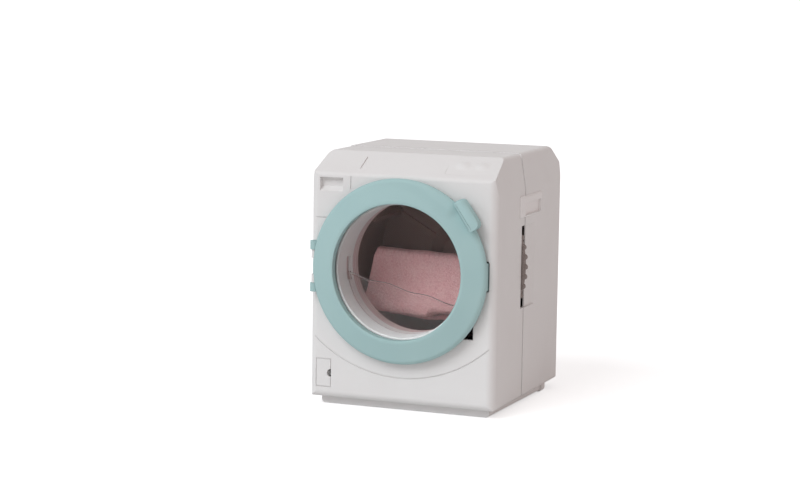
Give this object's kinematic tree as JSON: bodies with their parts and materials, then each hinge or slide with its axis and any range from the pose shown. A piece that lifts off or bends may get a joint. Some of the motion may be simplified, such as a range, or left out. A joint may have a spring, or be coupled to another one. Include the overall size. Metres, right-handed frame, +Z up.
{
  "type": "toy washing machine",
  "caption": "Doll-scale front-loading washing machine with a hinged ring door, a clear window, a drum turned by thumb wheels at the sides and a folded towel inside",
  "frame": {"origin": "under the middle of the toy on the plane it stands on: midway between the thumb wheels' sides, midway between the pull's face and the rear wall, at the rails' feet", "axes": "+X to the toy's right as seen from the front, +Y from the front panel to the rear wall, +Z up"},
  "size_m": [0.1047, 0.1124, 0.1302],
  "materials": {
    "white_body": "satin moulded white",
    "white_trim": "satin moulded white",
    "mint_door": "satin moulded mint",
    "clear_window": "clear polished",
    "clear_water": "clear polished with a wavy edge",
    "grey_drum": "satin moulded warm grey",
    "pearl_drum": "satin moulded pearl grey",
    "steel": "bright zinc-plated steel",
    "pink_terry": "soft terry cloth"
  },
  "bodies": {
    "casing": {"front_shell": "white_body", "rear_shell": "white_body", "base_plate": "white_body", "side_grip_left": "white_trim", "side_grip_right": "white_trim", "water_plate": "clear_water", "hinge_pin_upper": "steel", "hinge_pin_lower": "steel", "case_screw_1": "steel", "case_screw_2": "steel", "case_screw_3": "steel", "case_screw_4": "steel", "base_screw_1": "steel", "base_screw_2": "steel", "base_screw_3": "steel", "base_screw_4": "steel"},
    "door": {"door_ring": "mint_door", "door_back": "mint_door", "door_window": "clear_window"},
    "drum": {"drum_mouth": "pearl_drum", "thumb_wheel": "grey_drum", "drum_cup": "grey_drum", "towel": "pink_terry"}
  },
  "joints": [
    {"name": "door_hinge", "type": "hinge", "parent": "casing", "child": "door", "pos_m": [-0.04655, -0.04935, 0.0722], "axis": [0, 0, -1], "range_deg": [0, 170]},
    {"name": "drum_spin", "type": "hinge", "parent": "casing", "child": "drum", "pos_m": [0, 0, 0.0722], "axis": [0, 1, 0], "continuous": true}
  ]
}
